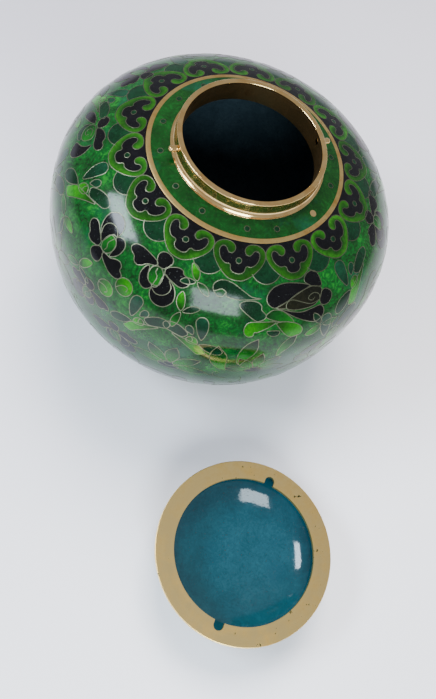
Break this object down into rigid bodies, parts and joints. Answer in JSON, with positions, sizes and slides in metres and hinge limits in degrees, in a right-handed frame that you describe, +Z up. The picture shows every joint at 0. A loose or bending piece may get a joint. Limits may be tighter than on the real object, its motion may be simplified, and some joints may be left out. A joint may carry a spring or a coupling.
{
  "type": "cloisonne lidded jar",
  "caption": "Squat round cloisonne jar with a brass collar and bayonet pins, and its loose domed lid lying upside down in front.",
  "frame": {"origin": "centre of the foot ring on the surface that the jar stands on", "axes": "+Z up along the jar's axis; the lid lies on the -Y side"},
  "size_m": [0.12, 0.2044, 0.0885],
  "materials": {
    "copper": "spun copper, hidden under enamel",
    "brass": "turned and polished brass",
    "lid_brass": "satin brass with small dark pits",
    "wire": "flat cloison wire, ground flush and gilded",
    "green_enamel": "glossy mottled green glass enamel",
    "turquoise_enamel": "glossy turquoise glass enamel",
    "black_enamel": "dark glass enamel"
  },
  "bodies": {
    "jar": {"body_upper_shell": "copper", "body_lower_shell": "copper", "base_disc": "copper", "foot_ring": "brass", "base_enamel": "turquoise_enamel", "inner_lining": "black_enamel", "neck_collar": "brass", "shoulder_band": "brass", "shoulder_enamel": "green_enamel", "body_enamel": "green_enamel", "bayonet_pin_1": "brass", "bayonet_pin_2": "brass", "shoulder_dot_wires": "wire", "cloud_wires": "wire", "cloud_dot_wires": "wire", "scallop_wires": "wire", "pansy_wires": "wire", "orchid_wires": "wire", "leaf_wires": "wire", "lotus_wires": "wire", "low_flower_wires": "wire"},
    "lid_inner": {"lid_lining": "turquoise_enamel"},
    "lid": {"lid_dome": "copper", "lid_ring": "lid_brass", "lid_enamel": "green_enamel", "lid_cloud_wires": "wire", "lid_dot_wires": "wire", "lid_crown_wires": "wire"}
  },
  "joints": [
    {"name": "lid_lift", "type": "slide", "parent": "jar", "child": "lid_inner", "axis": [0, 0, 1], "range_m": [0, 0.1]},
    {"name": "lid_turn", "type": "hinge", "parent": "lid_inner", "child": "lid", "pos_m": [0, -0.1137, 0.018], "axis": [0, 0, 1], "continuous": true}
  ]
}
